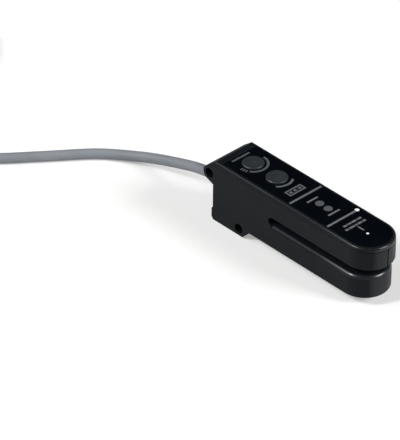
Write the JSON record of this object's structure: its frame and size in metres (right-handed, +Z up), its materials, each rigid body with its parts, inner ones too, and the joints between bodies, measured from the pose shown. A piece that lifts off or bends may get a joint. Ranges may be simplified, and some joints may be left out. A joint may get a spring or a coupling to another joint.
{
  "type": "fork sensor",
  "caption": "Slotted two-jaw fork sensor with push buttons and lamps on its lid, cross screw holes in an ear and a foot, and a grey cable tied in a coil with open leads.",
  "frame": {"origin": "middle of the body's footprint, half way between the rear ear and the upper nose, on the base plane", "axes": "+X from the ear to the round nose along the slot, +Y across the jaws, +Z up from the base to the lid"},
  "size_m": [0.3447, 0.0839, 0.0343],
  "materials": {
    "housing": "fine moulded texture, black glass-filled polyamide",
    "label": "black polyester label film with pale grey and white print",
    "seal": "black sealing bead",
    "button": "dark grey satin moulding",
    "switch": "black moulded switch case",
    "plunger": "ivory moulding",
    "light_pipe": "frosted clear moulding",
    "lamp": "white lamp chip",
    "board": "green glass-fibre circuit board",
    "chip": "black moulded package",
    "capacitor": "drawn can",
    "lens": "dark red clear moulding",
    "emitter": "clear domed emitter",
    "ribbon": "grey flat ribbon",
    "gland": "black soft moulding",
    "crimp": "tinned metal",
    "cable": "grey extruded cable jacket",
    "tie": "black strap",
    "core_brown": "brown core insulation",
    "core_white": "white core insulation",
    "core_blue": "blue core insulation",
    "core_black": "black core insulation"
  },
  "bodies": {
    "housing": {"fork_body": "housing", "lid": "housing", "lid_seal": "seal", "label": "label", "bottom_cover": "housing", "rear_switch": "switch", "front_switch": "switch", "light_pipe": "light_pipe", "power_lamp": "lamp", "output_lamp": "lamp", "main_board": "board", "controller_chip": "chip", "driver_chip": "chip", "capacitors": "capacitor", "receiver": "chip", "receiver_lens": "lens", "emitter_board": "board", "emitter": "emitter", "emitter_lens": "lens", "link_ribbon": "ribbon", "cable_gland": "gland", "cable_crimp": "crimp", "core_brown": "core_brown", "core_white": "core_white", "core_blue": "core_blue", "core_black": "core_black", "cable_run": "cable", "cable_coil": "cable", "cable_tail": "cable", "coil_tie": "tie", "lead_brown": "core_brown", "lead_white": "core_white", "lead_blue": "core_blue", "lead_black": "core_black", "lead_ferrules": "crimp"},
    "rear_button": {"rear_button": "button", "rear_plunger": "plunger"},
    "front_button": {"front_button": "button", "front_plunger": "plunger"}
  },
  "joints": [
    {"name": "rear_button_press", "type": "slide", "parent": "housing", "child": "rear_button", "axis": [0, 0, -1], "range_m": [0, 0.0004], "stiffness_N_per_m": 3000, "springref_m": -0.0003},
    {"name": "front_button_press", "type": "slide", "parent": "housing", "child": "front_button", "axis": [0, 0, -1], "range_m": [0, 0.0004], "stiffness_N_per_m": 3000, "springref_m": -0.0003}
  ]
}
